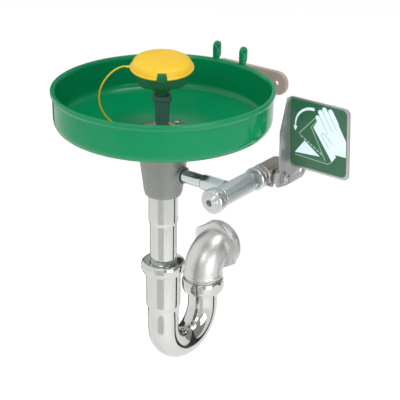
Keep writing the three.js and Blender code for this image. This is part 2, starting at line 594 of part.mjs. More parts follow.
const outletLeg = { at: [0, TRAP_Y, 0] };
function trapBend() {
  const hub = turned([
    [0, HUB_IN_TOP], [TRAP_HUB_R, HUB_IN_TOP], [TRAP_HUB_R, -302], [TRAP_R, -309], [TRAP_R, TRAP_BEND_Z],
    [0, TRAP_BEND_Z],
  ]);
  const outside = join(hub, sweep(trapArc(), TRAP_R, 24, 14), rod(TRAP_R, TRAP_BEND_Z, TRAP_END, outletLeg));
  return cut(outside, rod(TRAP_BORE_R, TRAP_BEND_Z, HUB_IN_TOP + 1, { sides: 16 }),
    sweep(trapArc(), TRAP_BORE_R, 16, 10),
    rod(TRAP_BORE_R, TRAP_BEND_Z, TRAP_END + 1, { ...outletLeg, sides: 16 }));
}
piece('j_bend', trapBend(), MATERIAL.chrome);

const SPIGOT_R = 25.2;
const SPIGOT_LOW = NUT_OUT_TOP - 7;
// The outlet nut hangs the other way up: its wide bore faces the elbow above.
const outletNut = turned([
  [TRAP_R + 0.6, -NUT_HEIGHT], [26.6, -NUT_HEIGHT], [28.4, -14.4], [29.3, -11.5], [29.3, -5], [28.6, -2.2],
  [27.6, 0], [SPIGOT_R + GAP, 0], [SPIGOT_R + GAP, -12], [TRAP_R + 0.6, -12], [TRAP_R + 0.6, -NUT_HEIGHT],
], { sides: 24, at: [0, TRAP_Y, NUT_OUT_TOP] });
piece('slip_nut_outlet', outletNut, MATERIAL.chrome);
piece('slip_washer_outlet', ring(TRAP_R + GAP, SPIGOT_R - 0.4, NUT_OUT_TOP - 12 + GAP, SPIGOT_LOW - GAP,
  outletLeg), MATERIAL.rubber);

function outletElbow() {
  const bend = 31; // radius of the elbow's centre line
  const quarter = new THREE.Curve();
  quarter.getPoint = (t, target = new THREE.Vector3()) => target.set(
    0, TRAP_Y + bend - bend * Math.cos((Math.PI / 2) * t),
    OUTLET_Z - bend + bend * Math.sin((Math.PI / 2) * t));
  const straightY = { axis: 'y', at: [0, 0, OUTLET_Z] };
  const shell = join(
    sweep(quarter, 26.6, 24, 7),
    turned([[0, -296.3], [26.4, -296.3], [27.4, -295], [27.4, -292.6], [26.6, -291], [26.6, -288], [0, -288]],
      outletLeg),
    rod(SPIGOT_R, SPIGOT_LOW, -290, outletLeg),
    hexBar(OUTLET_HEX_FLATS, OUTLET_HEX_Y, OUTLET_HEX_Y + 9.5, straightY),
    turned([[0, OUTLET_HEX_Y + 9], [OUTLET_COLLAR_R, OUTLET_HEX_Y + 9], [OUTLET_COLLAR_R, OUTLET_FACE_Y - 2],
      [OUTLET_COLLAR_R - 1.6, OUTLET_FACE_Y], [0, OUTLET_FACE_Y]], { ...straightY, sides: 28 }),
  );
  return cut(shell,
    sweep(quarter, 20, 16, 6),
    rod(TRAP_R + GAP, SPIGOT_LOW - 1, -292, outletLeg),
    rod(24, OUTLET_FACE_Y - 17, OUTLET_FACE_Y + 1, straightY));
}
piece('outlet_elbow', outletElbow(), MATERIAL.satinNickel);

const object = new THREE.Group();
object.add(station);
export default object;
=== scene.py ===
# Looks of the wall-mounted eye and face wash station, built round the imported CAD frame. Metres, +Z up,
# with the wall at y = 0 and the bowl in front of it.
import math

import bmesh
import bpy
from mathutils import Matrix, Vector


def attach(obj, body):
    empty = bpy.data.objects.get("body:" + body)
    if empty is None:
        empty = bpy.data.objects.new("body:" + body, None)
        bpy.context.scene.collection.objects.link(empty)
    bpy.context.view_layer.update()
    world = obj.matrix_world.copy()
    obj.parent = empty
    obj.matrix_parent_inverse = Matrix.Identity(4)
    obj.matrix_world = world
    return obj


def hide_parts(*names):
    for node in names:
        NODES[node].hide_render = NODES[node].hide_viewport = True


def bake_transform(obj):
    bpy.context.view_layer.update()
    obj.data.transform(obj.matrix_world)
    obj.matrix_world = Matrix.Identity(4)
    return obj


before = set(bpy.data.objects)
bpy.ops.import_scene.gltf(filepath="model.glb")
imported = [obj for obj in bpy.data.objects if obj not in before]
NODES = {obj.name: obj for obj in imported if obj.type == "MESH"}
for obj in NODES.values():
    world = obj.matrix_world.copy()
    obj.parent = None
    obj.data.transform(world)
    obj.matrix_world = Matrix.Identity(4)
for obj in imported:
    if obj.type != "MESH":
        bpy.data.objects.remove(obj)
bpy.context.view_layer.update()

# Sizes below are in millimetres from the bowl's axis at the height of its rim, as in the CAD source.
BOWL_TO_WALL, RIM_ABOVE_PLATE = 190.5, 34.5
ORIGIN = Vector((0, -BOWL_TO_WALL, RIM_ABOVE_PLATE))
RISER_TURN = math.radians(39)
HEAD_TILT = math.radians(7)
HEAD_PIVOT_Z = -10
CAP_SEAT = 36
SUPPLY_Z = -110.5
TEE_X = 109
STEM_Y = 72
HANDLE_X = 136
SHEET = 2.3
SIGN_LOW, SIGN_HIGH = Vector((0, 84, -96.2)), Vector((0, 77, -2.3))
TRAP_Y, TRAP_BEND_Z = 87, -337
OUTLET_Z = -262.5
SCREW_HOLE_R, SCREW_CIRCLE_R = 2.4, 28
SCREW_PLACES = [(SCREW_CIRCLE_R * math.cos(a), SCREW_CIRCLE_R * math.sin(a), 0)
                for a in map(math.radians, (90, 210, 330))]


def metres(point):
    return (Vector(point) + ORIGIN) / 1000


# ---- camera ---------------------------------------------------------------------------------
CAMERA_PLACE = Vector((0.92345, -1.32806, 0.53414))
CAMERA_PITCH, CAMERA_AZIMUTH, CAMERA_ROLL = 24.013, 37.224, 0.695
LENS_MM, SENSOR_MM = 112.10, 36


def make_camera():
    pitch, azimuth, roll = (math.radians(a) for a in (CAMERA_PITCH, CAMERA_AZIMUTH, CAMERA_ROLL))
    forward = Vector((-math.sin(azimuth) * math.cos(pitch), math.cos(azimuth) * math.cos(pitch), -math.sin(pitch)))
    level = Vector((math.cos(azimuth), math.sin(azimuth), 0))
    raised = level.cross(forward)
    right = level * math.cos(roll) + raised * math.sin(roll)
    up = raised * math.cos(roll) - level * math.sin(roll)
    camera = bpy.data.objects.new("camera", bpy.data.cameras.new("camera"))
    camera.data.sensor_width = SENSOR_MM
    camera.data.lens = LENS_MM
    camera.data.clip_end = 60
    turn = Matrix((right, up, -forward)).transposed().to_4x4()
    camera.matrix_world = Matrix.Translation(CAMERA_PLACE) @ turn
    bpy.context.scene.collection.objects.link(camera)
    bpy.context.scene.camera = camera


make_camera()


# ---- mesh helpers ---------------------------------------------------------------------------
def link(name, mesh):
    piece = bpy.data.objects.new(name, mesh)
    bpy.context.scene.collection.objects.link(piece)
    return piece


def smooth_by_angle(mesh, degrees=32):
    bm = bmesh.new()
    bm.from_mesh(mesh)
    for face in bm.faces:
        face.smooth = True
    limit = math.radians(degrees)
    for edge in bm.edges:
        edge.smooth = len(edge.link_faces) == 2 and edge.calc_face_angle(0) < limit
    bm.to_mesh(mesh)
    bm.free()


def mesh_of(name, points, faces, place=None):
    mesh = bpy.data.meshes.new(name)
    place = place or Matrix.Identity(4)
    mesh.from_pydata([metres(place @ Vector(p)) for p in points], [], faces)
    bm = bmesh.new()
    bm.from_mesh(mesh)
    bmesh.ops.remove_doubles(bm, verts=bm.verts, dist=1e-6)
    bmesh.ops.recalc_face_normals(bm, faces=bm.faces)
    bm.to_mesh(mesh)
    bm.free()
    return link(name, mesh)


AXES = {
    "z": lambda r, a, h: (r * math.cos(a), r * math.sin(a), h),
    "y": lambda r, a, h: (r * math.sin(a), h, r * math.cos(a)),
    "x": lambda r, a, h: (h, r * math.cos(a), r * math.sin(a)),
}


def rounded(profile, closed_loop=False, steps=4):
    """A profile of [radius, height] or [radius, height, fillet], with its filleted corners rounded."""
    out, count = [], len(profile)
    for i, p in enumerate(profile):
        fillet = p[2] if len(p) > 2 else 0
        ends = not closed_loop and i in (0, count - 1)
        if fillet <= 0 or ends:
            out.append((p[0], p[1]))
            continue
        here = Vector(p[:2])
        a, b = Vector(profile[i - 1][:2]) - here, Vector(profile[(i + 1) % count][:2]) - here
        half = a.angle(b) / 2
        reach = min(fillet / math.tan(half), a.length * 0.49, b.length * 0.49)
        start, end = here + a.normalized() * reach, here + b.normalized() * reach
        for k in range(steps + 1):
            t = k / steps
            q = start * (1 - t) ** 2 + here * 2 * t * (1 - t) + end * t ** 2
            out.append((q.x, q.y))
    return out


def turned(name, profile, axis="z", at=(0, 0, 0), sides=96, place=None, steps=4):
    """A solid turned from an outline that starts and ends on the axis, or a ring from one that doesn't."""
    on_axis = profile[0][0] == 0 and profile[-1][0] == 0
    outline = rounded(profile, not on_axis, steps)
    points, rows = [], []
    for r, h in outline:
        if r == 0:
            points.append(Vector(AXES[axis](0, 0, h)) + Vector(at))
            rows.append([len(points) - 1] * sides)
            continue
        rows.append(list(range(len(points), len(points) + sides)))
        points += [Vector(AXES[axis](r, 2 * math.pi * k / sides, h)) + Vector(at) for k in range(sides)]
    faces = []
    pairs = list(zip(rows, rows[1:])) + ([] if on_axis else [(rows[-1], rows[0])])
    for low, high in pairs:
        for k in range(sides):
            n = (k + 1) % sides
            quad = [low[k], low[n], high[n], high[k]]
            face = [v for i, v in enumerate(quad) if v not in quad[:i]]
            if len(face) > 2:
                faces.append(face)
    return mesh_of(name, points, faces, place)


def lofted(name, sections, place=None):
    """A skin through closed sections of equal point count, capped at both ends."""
    count = len(sections[0])
    points = [p for section in sections for p in section]
    faces = [list(range(count))[::-1], [len(points) - count + k for k in range(count)]]
    for level in range(len(sections) - 1):
        for k in range(count):
            a, b = level * count + k, level * count + (k + 1) % count
            faces.append([a, b, b + count, a + count])
    return mesh_of(name, points, faces, place)


def tube_rings(path, radii, sides):
    """The rings of a round skin along a path, with one radius for each point."""
    rings = []
    side = None
    for i, p in enumerate(path):
        before, after = path[max(i - 1, 0)], path[min(i + 1, len(path) - 1)]
        along = (after - before).normalized()
        if side is None:
            side = along.orthogonal().normalized()
        side = (side - along * side.dot(along)).normalized()
        other = along.cross(side)
        rings.append([p + (side * math.cos(a) + other * math.sin(a)) * radii[i]
                      for a in (2 * math.pi * k / sides for k in range(sides))])
    return rings


def pipe(name, path, outer, inner, sides):
    """A hollow pipe: outside radii along the path, then inside radii back again."""
    rings = tube_rings(path, outer, sides) + tube_rings(path, inner, sides)[::-1]
    points = [p for ring in rings for p in ring]
    faces = []
    for level in range(len(rings)):
        low, high = level * sides, ((level + 1) % len(rings)) * sides
        for k in range(sides):
            n = (k + 1) % sides
            faces.append([low + k, low + n, high + n, high + k])
    return mesh_of(name, points, faces)


def slab(name, outline, low, high, to_3d, bevel=0.4, holes=()):
    """A plate from a flat outline, with rounded edges. to_3d(u, v, depth) places its points."""
    count = len(outline)
    points = [to_3d(u, v, low) for u, v in outline] + [to_3d(u, v, high) for u, v in outline]
    faces = [list(range(count))[::-1], list(range(count, 2 * count))]
    faces += [[k, (k + 1) % count, (k + 1) % count + count, k + count] for k in range(count)]
    piece = mesh_of(name, points, faces)
    for i, hole in enumerate(holes):
        cut = [to_3d(u, v, d) for d in (low - 2, high + 2) for u, v in hole]
        n = len(hole)
        cutter = mesh_of(f"{name}_hole_{i}", cut, [list(range(n))[::-1], list(range(n, 2 * n))] + [
            [k, (k + 1) % n, (k + 1) % n + n, k + n] for k in range(n)])
        combine(piece, cutter, "DIFFERENCE")
    if bevel:
        round_edges(piece, bevel)
    return piece


def apply_modifiers(piece):
    graph = bpy.context.evaluated_depsgraph_get()
    mesh = bpy.data.meshes.new_from_object(piece.evaluated_get(graph))
    piece.modifiers.clear()
    old = piece.data
    piece.data = mesh
    bpy.data.meshes.remove(old)
    return piece


def combine(piece, tool, operation):
    """Joins a tool solid to a piece, or cuts it away, and removes the tool."""
    modifier = piece.modifiers.new("combine", "BOOLEAN")
    modifier.operation = operation
    modifier.solver = "MANIFOLD"
    modifier.object = tool
    bpy.context.view_layer.update()
    apply_modifiers(piece)
    bpy.data.objects.remove(tool)
    return piece


def round_edges(piece, width_mm, segments=3, angle=28):
    modifier = piece.modifiers.new("edges", "BEVEL")
    modifier.width = width_mm / 1000
    modifier.segments = segments
    modifier.limit_method = "ANGLE"
    modifier.angle_limit = math.radians(angle)
    modifier.use_clamp_overlap = True
    return apply_modifiers(piece)


def cast(piece, voxel_mm, rounds):
    """Melts joined solids into one casting with soft inside and outside corners."""
    remesh = piece.modifiers.new("remesh", "REMESH")
    remesh.mode = "VOXEL"
    remesh.voxel_size = voxel_mm / 1000
    soften = piece.modifiers.new("soften", "SMOOTH")
    soften.factor = 0.5
    soften.iterations = rounds
    bpy.context.view_layer.update()
    return apply_modifiers(piece)


def circle(cx, cy, r, count=32, start=0.0, end=360.0, closed_ring=True):
    steps = count if closed_ring else count - 1
    return [(cx + r * math.cos(math.radians(start + (end - start) * k / steps)),
             cy + r * math.sin(math.radians(start + (end - start) * k / steps))) for k in range(count)]


def rounded_box(left, right, low, high, r, steps=9):
    corners = ((right - r, low + r, -90), (right - r, high - r, 0), (left + r, high - r, 90),
               (left + r, low + r, 180))
    return [p for x, y, start in corners for p in circle(x, y, r, steps, start, start + 90, False)]


def hexagon(name, flats, low, high, axis, at, turn=0.0, chamfer=0.12, bore=0.0, edge=0.25):
    """A hexagon nut with the usual turned chamfers, and a bore if one is given."""
    r = flats / math.sqrt(3)
    ring = [(r * math.cos(a + turn), r * math.sin(a + turn)) for a in (math.pi / 3 * k for k in range(6))]
    to_axis = {"x": lambda u, v, d: (d, u, v), "y": lambda u, v, d: (v, d, u), "z": lambda u, v, d: (u, v, d)}[axis]
    points = [Vector(to_axis(u, v, d)) + Vector(at) for d in (low, high) for u, v in ring]
    faces = [[5, 4, 3, 2, 1, 0], [6, 7, 8, 9, 10, 11]] + [
        [k, (k + 1) % 6, (k + 1) % 6 + 6, k + 6] for k in range(6)]
    nut = mesh_of(name, points, faces)
    c = r * chamfer
    barrel = [(0, low), (r - 1.35 * c, low), (r + 0.05, low + c * 0.8), (r + 0.05, high - c * 0.8),
              (r - 1.35 * c, high), (0, high)]
    combine(nut, turned("tool", barrel, axis, at, 64), "INTERSECT")
    if bore:
        through = [(0, low - 1), (bore, low - 1), (bore, high + 1), (0, high + 1)]
        combine(nut, turned("tool", through, axis, at, 48), "DIFFERENCE")
    return round_edges(nut, edge, 2, 20) if edge else nut


def superellipse(h, power, z, count, dent=None):
    """A squarish ring of half width h. A higher power makes it squarer, and dent moves its points."""
    points = []
    for k in range(count):
        a = 2 * math.pi * k / count
        c, s = math.cos(a), math.sin(a)
        r = h / (abs(c) ** power + abs(s) ** power) ** (1 / power)
        x, y = r * c, r * s
        if dent:
            x, y = dent(x, y, z)
        points.append(Vector((x, y, z)))
    return points


# ---- materials ------------------------------------------------------------------------------
# Blender's pointiness (0.5 where flat) at which the wear on an edge starts, and is full.
WORN_FROM, WORN_TO = 0.52, 0.62


def finish(name, color, roughness, metallic=0.0, mottle=0.05, mottle_mm=9.0, grain_mm=0.5, stretch=(1, 1, 1),
           bump=0.08, depth_mm=0.05, spread=0.05, edge=0.0, specular=0.5):
    """A surface with cloudy colour, uneven gloss, a fine grain in relief and, if asked, paler worn edges."""
    material = bpy.data.materials.new(name)
    material.use_nodes = True
    nodes, links = material.node_tree.nodes, material.node_tree.links
    shader = nodes["Principled BSDF"]
    shader.inputs["Metallic"].default_value = metallic
    shader.inputs["Specular IOR Level"].default_value = specular
    place = nodes.new("ShaderNodeTexCoord")
    size = nodes.new("ShaderNodeMapping")
    size.inputs["Scale"].default_value = [1000 * s for s in stretch]
    links.new(place.outputs["Object"], size.inputs["Vector"])
    clouds, grain = nodes.new("ShaderNodeTexNoise"), nodes.new("ShaderNodeTexNoise")
    even = nodes.new("ShaderNodeMapping")
    even.inputs["Scale"].default_value = (1000, 1000, 1000)
    links.new(place.outputs["Object"], even.inputs["Vector"])
    clouds.inputs["Scale"].default_value = 1 / mottle_mm
    clouds.inputs["Detail"].default_value = 5
    clouds.inputs["Roughness"].default_value = 0.6
    links.new(even.outputs["Vector"], clouds.inputs["Vector"])
    grain.inputs["Scale"].default_value = 1 / grain_mm
    grain.inputs["Detail"].default_value = 3
    links.new(size.outputs["Vector"], grain.inputs["Vector"])
    tint = nodes.new("ShaderNodeMix")
    tint.data_type = "RGBA"
    tint.inputs["A"].default_value = [c * (1 - mottle) for c in color] + [1]
    tint.inputs["B"].default_value = [min(1, c * (1 + mottle)) for c in color] + [1]
    links.new(clouds.outputs["Fac"], tint.inputs["Factor"])
    last = tint.outputs["Result"]
    if edge:
        shape = nodes.new("ShaderNodeNewGeometry")
        ramp = nodes.new("ShaderNodeMapRange")
        ramp.inputs["From Min"].default_value = WORN_FROM
        ramp.inputs["From Max"].default_value = WORN_TO
        ramp.inputs["To Max"].default_value = edge
        links.new(shape.outputs["Pointiness"], ramp.inputs["Value"])
        worn = nodes.new("ShaderNodeMix")
        worn.data_type = "RGBA"
        worn.inputs["B"].default_value = [min(1, c * 1.6 + 0.05) for c in color] + [1]
        links.new(ramp.outputs["Result"], worn.inputs["Factor"])
        links.new(last, worn.inputs["A"])
        last = worn.outputs["Result"]
    links.new(last, shader.inputs["Base Color"])
    gloss = nodes.new("ShaderNodeMapRange")
    gloss.inputs["From Min"].default_value = 0.25
    gloss.inputs["From Max"].default_value = 0.75
    gloss.inputs["To Min"].default_value = max(0.02, roughness - spread)
    gloss.inputs["To Max"].default_value = roughness + spread
    links.new(grain.outputs["Fac"], gloss.inputs["Value"])
    links.new(gloss.outputs["Result"], shader.inputs["Roughness"])
    relief = nodes.new("ShaderNodeBump")
    relief.inputs["Strength"].default_value = bump
    relief.inputs["Distance"].default_value = depth_mm / 1000
    links.new(grain.outputs["Fac"], relief.inputs["Height"])
    links.new(relief.outputs["Normal"], shader.inputs["Normal"])
    return material


TURNED_Y, TURNED_X = (0.04, 3, 0.04), (3, 0.04, 0.04)
LOOK = {
    "green": finish("green_abs", (0.0010, 0.225, 0.083), 0.14, mottle=0.05, mottle_mm=30, grain_mm=1.6, bump=0.25,
                    depth_mm=0.02, spread=0.04, specular=0.24),
    "rubber": finish("black_rubber", (0.018, 0.018, 0.018), 0.7, mottle=0.3, grain_mm=0.3, bump=0.4),
    "bracket": finish("bracket_coating", (0.43, 0.345, 0.30), 0.5, 0.25, mottle=0.14, mottle_mm=5, grain_mm=0.6,
                      bump=0.5, depth_mm=0.12, spread=0.08, edge=0.25),
    "body": finish("body_coating", (0.235, 0.245, 0.225), 0.36, 0.35, mottle=0.1, mottle_mm=7, grain_mm=0.5,
                   bump=0.4, depth_mm=0.08, spread=0.07, edge=0.2),
    "steel": finish("satin_steel", (0.5, 0.51, 0.51), 0.32, 1, mottle=0.08, grain_mm=0.35, bump=0.2, spread=0.08),
    "riser": finish("riser_moulding", (0.068, 0.165, 0.135), 0.42, mottle=0.14, mottle_mm=6, grain_mm=0.35,
                    bump=0.35, depth_mm=0.05, spread=0.06, specular=0.35),
    "head": finish("head_moulding", (0.023, 0.175, 0.072), 0.36, mottle=0.12, mottle_mm=8, grain_mm=0.35, bump=0.3,
                   depth_mm=0.04, specular=0.35),
    "white": finish("white_moulding", (0.75, 0.74, 0.69), 0.4, mottle=0.04, grain_mm=0.4, bump=0.2),
    "yellow": finish("yellow_moulding", (0.80, 0.50, 0.02), 0.36, mottle=0.06, mottle_mm=11, grain_mm=0.4,
                     bump=0.3, depth_mm=0.04, spread=0.05, specular=0.35),
    "chrome": finish("polished_chrome", (0.58, 0.59, 0.565), 0.075, 1, mottle=0.03, mottle_mm=25, grain_mm=2.2,
                     bump=0.12, depth_mm=0.02, spread=0.03),
    "chrome_y": finish("satin_cast_chrome", (0.60, 0.62, 0.63), 0.4, 1, mottle=0.26, mottle_mm=2.4, grain_mm=1.1,
                       bump=0.7, depth_mm=0.1, spread=0.1),
    "chrome_x": finish("turned_chrome", (0.60, 0.64, 0.645), 0.17, 1, mottle=0.14, mottle_mm=4, grain_mm=0.9,
                       stretch=TURNED_X, bump=0.1, depth_mm=0.02, spread=0.06),
    "bright": finish("machined_chrome", (0.56, 0.58, 0.58), 0.27, 1, mottle=0.07, mottle_mm=4, grain_mm=0.8,
                     stretch=TURNED_Y, bump=0.2, depth_mm=0.02, spread=0.07),
    "nickel": finish("brushed_nickel", (0.40, 0.385, 0.35), 0.42, 1, mottle=0.2, mottle_mm=3, grain_mm=0.6,
                     stretch=(0.6, 0.15, 0.6), bump=0.45, depth_mm=0.05, spread=0.09, edge=0.15),
    "sheet": finish("brushed_sheet", (0.47, 0.475, 0.47), 0.38, 0.85, mottle=0.06, mottle_mm=12, grain_mm=0.45,
                    stretch=(1, 1, 0.05), bump=0.3, depth_mm=0.03, spread=0.07, edge=0.15),
    "elbow": finish("mottled_nickel", (0.64, 0.64, 0.625), 0.38, 0.95, mottle=0.26, mottle_mm=2.4, grain_mm=1.3,
                    bump=0.8, depth_mm=0.14, spread=0.12, edge=0.2),
    "label": finish("label_green", (0.026, 0.115, 0.058), 0.3, mottle=0.22, mottle_mm=26, grain_mm=0.5, bump=0.1,
                    spread=0.05),
    "print": finish("label_print", (0.74, 0.90, 0.96), 0.4, mottle=0.05, mottle_mm=18, grain_mm=0.6, bump=0.05),
    "line": finish("label_line", (0.13, 0.27, 0.22), 0.4, mottle=0.12, mottle_mm=8, grain_mm=0.6, bump=0.05),
    "outline": finish("label_outline", (0.26, 0.47, 0.33), 0.4, mottle=0.12, mottle_mm=8, grain_mm=0.6, bump=0.05),
}


def dress(piece, look, nodes=(), body="root", smooth=32):
    piece.data.materials.clear()
    piece.data.materials.append(LOOK[look])
    for face in piece.data.polygons:
        face.material_index = 0
    smooth_by_angle(piece.data, smooth)
    if nodes:
        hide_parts(*([nodes] if isinstance(nodes, str) else nodes))
    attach(piece, body)
    return piece


FINE_BEVEL, FINE_ANGLE = 0.2, 38


def refined(node, look, body="root"):
    """A CAD solid with its facets shaded smooth and its edges rounded."""
    bm = bmesh.new()
    bm.from_mesh(NODES[node].data)
    bmesh.ops.remove_doubles(bm, verts=bm.verts, dist=2e-6)
    bmesh.ops.dissolve_limit(bm, angle_limit=math.radians(0.5), verts=bm.verts, edges=bm.edges)
    mesh = bpy.data.meshes.new(node + "_fine")
    bm.to_mesh(mesh)
    bm.free()
    piece = link(node + "_fine", mesh)
    round_edges(piece, FINE_BEVEL, 2, FINE_ANGLE)
    return dress(piece, look, node, body, FINE_ANGLE)


# ---- tether ---------------------------------------------------------------------------------
TETHER_R = 1.1
TETHER_ROUTE = [
    (45.8, 26.2), (49, 26), (55, 24), (62, 19.5), (68.5, 13), (74, 5), (78, -4), (79.5, -13), (79, -22),
    (76, -31), (71, -39.5), (64, -46.5), (55, -51), (45, -53), (35, -53.2), (26, -53), (18.8, -52.9),
]
TETHER_SIDE = Vector((-math.cos(RISER_TURN), -math.sin(RISER_TURN), 0))


def catmull_rom(points):
    """A centripetal Catmull-Rom curve through the points, with six steps to each span."""
    per_span = 6
    ends = [points[0] * 2 - points[1]] + points + [points[-1] * 2 - points[-2]]
    out = []
    for i in range(1, len(ends) - 2):
        p = ends[i - 1:i + 3]
        d = [max((p[k + 1] - p[k]).length, 1e-6) ** 0.5 for k in range(3)]
        t1 = ((p[1] - p[0]) / d[0] - (p[2] - p[0]) / (d[0] + d[1]) + (p[2] - p[1]) / d[1]) * d[1]
        t2 = ((p[2] - p[1]) / d[1] - (p[3] - p[1]) / (d[1] + d[2]) + (p[3] - p[2]) / d[2]) * d[1]
        for k in range(per_span):
            t = k / per_span
            out.append(p[1] * (2 * t ** 3 - 3 * t ** 2 + 1) + t1 * (t ** 3 - 2 * t ** 2 + t)
                       + p[2] * (3 * t ** 2 - 2 * t ** 3) + t2 * (t ** 3 - t ** 2))
    return out + [points[-1]]


def make_tether():
    route = catmull_rom([TETHER_SIDE * out + Vector((0, 0, z)) for out, z in TETHER_ROUTE])
    length = sum((b - a).length for a, b in zip(route, route[1:])) / 1000
    rings = tube_rings(route, [TETHER_R] * len(route), 16)
    strap = lofted("tether_cord", rings)
    strap.data.materials.append(LOOK["yellow"])
    smooth_by_angle(strap.data, 50)
    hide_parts("tether_strap")
    path = [metres(p) for p in route]
    metres(TETHER_SIDE * 79 + Vector((0, 0, -30)))
    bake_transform(strap)


make_tether()


# ---- bowl -----------------------------------------------------------------------------------
def make_bowl():
    shell = turned("bowl_shell", [
        (22, -61.5), (38, -61.5, 14), (137, -48.7, 17), (137.3, -7.6, 3), (139.7, -4.2, 2), (139.7, 0, 2.4),
        (134.8, 0, 2), (133.3, -3.6, 2), (133.1, -45.7, 12), (38, -58, 14), (22, -58),
    ], sides=160, steps=8)
    for place in SCREW_PLACES:
        outline = [(0, -64), (SCREW_HOLE_R, -64), (SCREW_HOLE_R, -56), (0, -56)]
        combine(shell, turned("tool", outline, at=place, sides=24), "DIFFERENCE")
    dress(shell, "green", "bowl", smooth=40)
    eye_y, eye_z, ear_x = 139.5, 15.7, 21.3
    for side, word in ((-1, "left"), (1, "right")):
        outline = [(132.9, -2.5), (138.5, -8.5), (146.3, 4)] + circle(eye_y, eye_z, 6.8, 17, 0, 180, False)
        ear = slab(f"bowl_ear_{word}", outline, -2, 2, lambda u, v, d, s=side: (s * ear_x + d, u, v), 0.7,
                   [circle(eye_y, eye_z, 2, 24)])
        dress(ear, "green", smooth=40)


make_bowl()


# ---- bracket and drain body -----------------------------------------------------------------
def make_bracket():
    top, low = -63.7, -68.2
    half_width, half_height, hole_x, hole_r = 61, 16.3, 44, 3.6
    front = BOWL_TO_WALL - 6
    outline = rounded_box(-half_width, half_width, -RIM_ABOVE_PLATE - half_height, half_height - RIM_ABOVE_PLATE,
                          half_height, 24)
    plate = slab("bracket_casting", outline, front, BOWL_TO_WALL, lambda u, v, d: (u, d, v), 0,
                 [circle(side * hole_x, -RIM_ABOVE_PLATE, hole_r, 40) for side in (-1, 1)])
    upper = [(front + 1, -34), (168, -42), (148, -52), (118, -55.5), (40, top - 0.6), (28, top - 0.6),
             (28, low), (40, low)]
    thin = upper + [(118, -60.5), (146, -57.5), (166, -49), (front + 1, -43)]
    deep = upper + [(70, -74), (120, -70), (152, -64), (front + 1, -50)]
    for outline, left, right in ((thin, -17, 17), (deep, -17.1, -13.9), (deep, -1.6, 1.6), (deep, 13.9, 17.1)):
        combine(plate, slab("tool", outline[::-1], left, right, lambda u, v, d: (d, u, v), 0), "UNION")
    combine(plate, turned("tool", [(0, low), (35.5, low), (35.5, top), (0, top)]), "UNION")
    cast(plate, 0.9, 3)
    for r, place in [(22, (0, 0, 0))] + [(SCREW_HOLE_R, place) for place in SCREW_PLACES]:
        combine(plate, turned("tool", [(0, -80), (r, -80), (r, -60), (0, -60)], at=place, sides=48), "DIFFERENCE")
    dress(plate, "bracket", "wall_bracket", smooth=50)


def make_drain():
    core = turned("drain_casting", [
        (0, -69), (34.3, -69), (34, -74), (30.6, -93, 26), (24.9, -138, 8), (23.2, -144.2, 3), (0, -144.3),
    ], sides=128)
    combine(core, turned("tool", [(0, 0), (14.2, 0), (13.6, 22), (11.7, 30), (11.7, 33.6), (0, 33.6)], "x",
                         (0, 0, SUPPLY_Z), 64), "UNION")
    cast(core, 0.8, 4)
    for tool in (
        turned("tool", [(0, 31.4), (9.9, 31.4), (9.9, 36), (0, 36)], "x", (0, 0, SUPPLY_Z), 64),
        turned("tool", [(0, 24), (8.9, 24), (8.9, 36), (0, 36)], "x", (0, 0, SUPPLY_Z), 64),
        turned("tool", [(0, -146), (19.4, -146), (19.4, -125.7), (17.4, -125.7), (17.4, -121), (24, -105), (26, -84),
                      (22, -79), (22, -60), (0, -60)], sides=96),
    ):
        combine(core, tool, "DIFFERENCE")
    dress(core, "body", "drain_body", smooth=45)


make_bracket()
make_drain()
for node, look, slot in (
    ("bowl_gasket", "rubber", "rubber"), ("drain_strainer", "steel", "steel"), ("strainer_screw_1", "steel", "steel"),
    ("strainer_screw_2", "steel", "steel"), ("strainer_screw_3", "steel", "steel"),
    ("spray_plate", "white", "white_plastic"), ("flow_regulator", "steel", "steel"),
    ("strainer_screen", "steel", "steel"), ("plug_gasket", "rubber", "rubber"),
    ("ball_seat_front", "white", "white_plastic"), ("ball_seat_rear", "white", "white_plastic"),
    ("slip_washer_inlet", "rubber", "rubber"), ("slip_washer_outlet", "rubber", "rubber"),
):
    refined(node, look)
refined("valve_ball", "chrome", "handle")


# ---- riser, tether ring, spray head and cap --------------------------------------------------
RISER = Matrix.Translation((-1.2, -0.9, 0)) @ Matrix.Rotation(RISER_TURN, 4, "Z")
HEAD = RISER @ Matrix.Translation((0, 0, HEAD_PIVOT_Z)) @ Matrix.Rotation(HEAD_TILT, 4, "X")


def flutes(x, y, z):
    """Two upright grooves low on the riser's front face."""
    if y >= 0:
        return x, y
    along = min(1, max(0, (-31 - z) / 4)) * min(1, max(0, (z + 54.6) / 1.5))
    depth = 0.95 * math.exp(-(((abs(x) - 2.7) / 0.95) ** 2)) * along
    return x, y + depth


